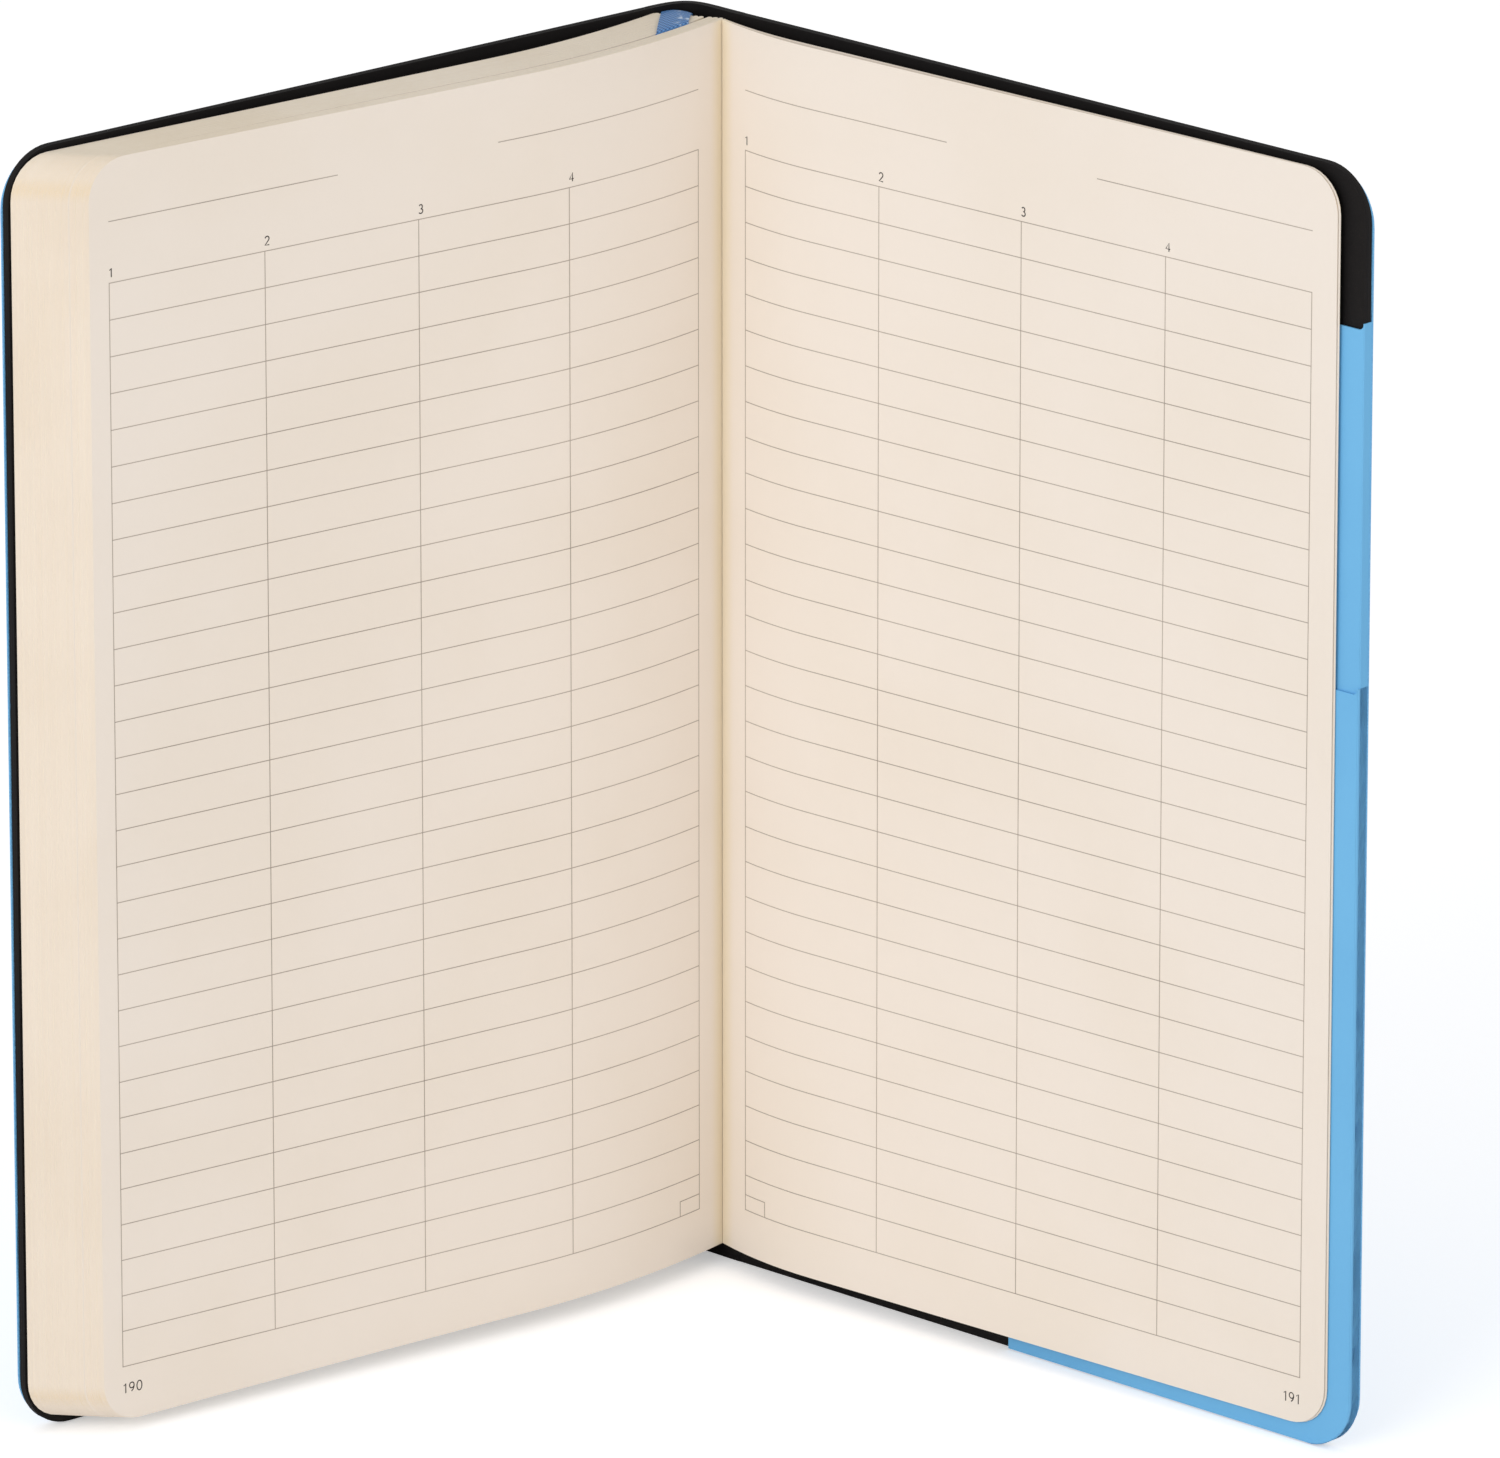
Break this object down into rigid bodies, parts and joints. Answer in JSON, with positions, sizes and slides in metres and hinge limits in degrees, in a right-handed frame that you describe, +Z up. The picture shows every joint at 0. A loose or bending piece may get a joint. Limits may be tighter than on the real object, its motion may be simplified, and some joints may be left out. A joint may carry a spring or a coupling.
{
  "type": "notebook",
  "caption": "Soft-cover notebook standing open in a V at its last spread, with ruled table pages, a two-step pocket inside the back cover and a ribbon.",
  "frame": {"origin": "middle of the footprint, on the surface that the notebook stands on", "axes": "+Z up along the spine, +X to the reader's right across the open covers, +Y away from the reader towards the spine"},
  "size_m": [0.2136, 0.0952, 0.2121],
  "materials": {
    "paper": "warm cream uncoated book paper, matt",
    "cover_blue": "blue imitation leather, soft touch, fine grain",
    "board_black": "black grey board, matt cut edge",
    "liner_black": "black lining paper with a faint grain",
    "pocket_blue": "sky-blue stiff paper, matt",
    "ribbon_blue": "woven blue ribbon",
    "linen": "unbleached thread and gauze"
  },
  "bodies": {
    "spine": {"spine_skin": "cover_blue", "spine_strip": "board_black", "spine_liner": "liner_black", "spine_gauze": "linen", "ribbon_tab": "ribbon_blue", "sewing_thread_1": "linen", "sewing_thread_2": "linen", "sewing_thread_3": "linen", "sewing_thread_4": "linen", "sewing_thread_5": "linen"},
    "section_01": {"section_01": "paper", "front_flyleaf": "paper"},
    "section_02": {"section_02": "paper"},
    "section_03": {"section_03": "paper"},
    "section_04": {"section_04": "paper"},
    "section_05": {"section_05": "paper"},
    "section_06": {"section_06": "paper"},
    "section_07": {"section_07": "paper"},
    "section_08": {"section_08": "paper"},
    "section_09": {"section_09": "paper"},
    "section_10": {"section_10": "paper", "bookmark_ribbon": "ribbon_blue"},
    "section_11": {"section_11": "paper"},
    "section_12": {"section_12": "paper"},
    "front_cover": {"front_cover_skin": "cover_blue", "front_cover_board": "board_black", "front_cover_liner": "liner_black"},
    "end_leaves": {"last_leaf": "paper", "back_flyleaf": "paper"},
    "back_cover": {"back_cover_skin": "cover_blue", "back_cover_board": "board_black", "back_cover_liner": "liner_black", "pocket_rear_panel": "pocket_blue", "pocket_front_panel": "pocket_blue"}
  },
  "joints": [
    {"name": "section_01_fold", "type": "hinge", "parent": "spine", "child": "section_01", "pos_m": [-0.00409, 0.04266, 0.1058], "axis": [0, 0, 1], "range_deg": [0, 45]},
    {"name": "section_02_fold", "type": "hinge", "parent": "spine", "child": "section_02", "pos_m": [-0.00321, 0.04243, 0.1058], "axis": [0, 0, 1], "range_deg": [0, 45]},
    {"name": "section_03_fold", "type": "hinge", "parent": "spine", "child": "section_03", "pos_m": [-0.00232, 0.04219, 0.1058], "axis": [0, 0, 1], "range_deg": [0, 45]},
    {"name": "section_04_fold", "type": "hinge", "parent": "spine", "child": "section_04", "pos_m": [-0.00144, 0.04196, 0.1058], "axis": [0, 0, 1], "range_deg": [0, 45]},
    {"name": "section_05_fold", "type": "hinge", "parent": "spine", "child": "section_05", "pos_m": [-0.00056, 0.04173, 0.1058], "axis": [0, 0, 1], "range_deg": [0, 45]},
    {"name": "section_06_fold", "type": "hinge", "parent": "spine", "child": "section_06", "pos_m": [0.00032, 0.0415, 0.1058], "axis": [0, 0, 1], "range_deg": [0, 45]},
    {"name": "section_07_fold", "type": "hinge", "parent": "spine", "child": "section_07", "pos_m": [0.0012, 0.04127, 0.1058], "axis": [0, 0, 1], "range_deg": [0, 45]},
    {"name": "section_08_fold", "type": "hinge", "parent": "spine", "child": "section_08", "pos_m": [0.00209, 0.04104, 0.1058], "axis": [0, 0, 1], "range_deg": [0, 45]},
    {"name": "section_09_fold", "type": "hinge", "parent": "spine", "child": "section_09", "pos_m": [0.00297, 0.0408, 0.1058], "axis": [0, 0, 1], "range_deg": [0, 45]},
    {"name": "section_10_fold", "type": "hinge", "parent": "spine", "child": "section_10", "pos_m": [0.00434, 0.04044, 0.1058], "axis": [0, 0, 1], "range_deg": [0, 45]},
    {"name": "section_11_fold", "type": "hinge", "parent": "spine", "child": "section_11", "pos_m": [0.00522, 0.04021, 0.1058], "axis": [0, 0, 1], "range_deg": [0, 45]},
    {"name": "section_12_fold", "type": "hinge", "parent": "spine", "child": "section_12", "pos_m": [0.00611, 0.03998, 0.1058], "axis": [0, 0, 1], "range_deg": [0, 45]},
    {"name": "front_cover_joint", "type": "hinge", "parent": "section_01", "child": "front_cover", "pos_m": [-0.00565, 0.04346, 0.1058], "axis": [0, 0, 1], "range_deg": [-75, 0]},
    {"name": "end_leaves_fold", "type": "hinge", "parent": "spine", "child": "end_leaves", "pos_m": [0.00814, 0.03945, 0.1058], "axis": [0, 0, 1], "range_deg": [-41, 20]},
    {"name": "back_cover_joint", "type": "hinge", "parent": "end_leaves", "child": "back_cover", "pos_m": [0.00961, 0.04004, 0.1058], "axis": [0, 0, 1], "range_deg": [0, 75]}
  ],
  "couplings": [
    {"joint": "section_02_fold", "follows": "section_01_fold", "ratio": 1},
    {"joint": "section_03_fold", "follows": "section_01_fold", "ratio": 1},
    {"joint": "section_04_fold", "follows": "section_01_fold", "ratio": 1},
    {"joint": "section_05_fold", "follows": "section_01_fold", "ratio": 1},
    {"joint": "section_06_fold", "follows": "section_01_fold", "ratio": 1},
    {"joint": "section_07_fold", "follows": "section_01_fold", "ratio": 1},
    {"joint": "section_08_fold", "follows": "section_01_fold", "ratio": 1},
    {"joint": "section_09_fold", "follows": "section_01_fold", "ratio": 1},
    {"joint": "section_10_fold", "follows": "section_01_fold", "ratio": 1},
    {"joint": "section_11_fold", "follows": "section_01_fold", "ratio": 1},
    {"joint": "section_12_fold", "follows": "section_01_fold", "ratio": 1}
  ]
}
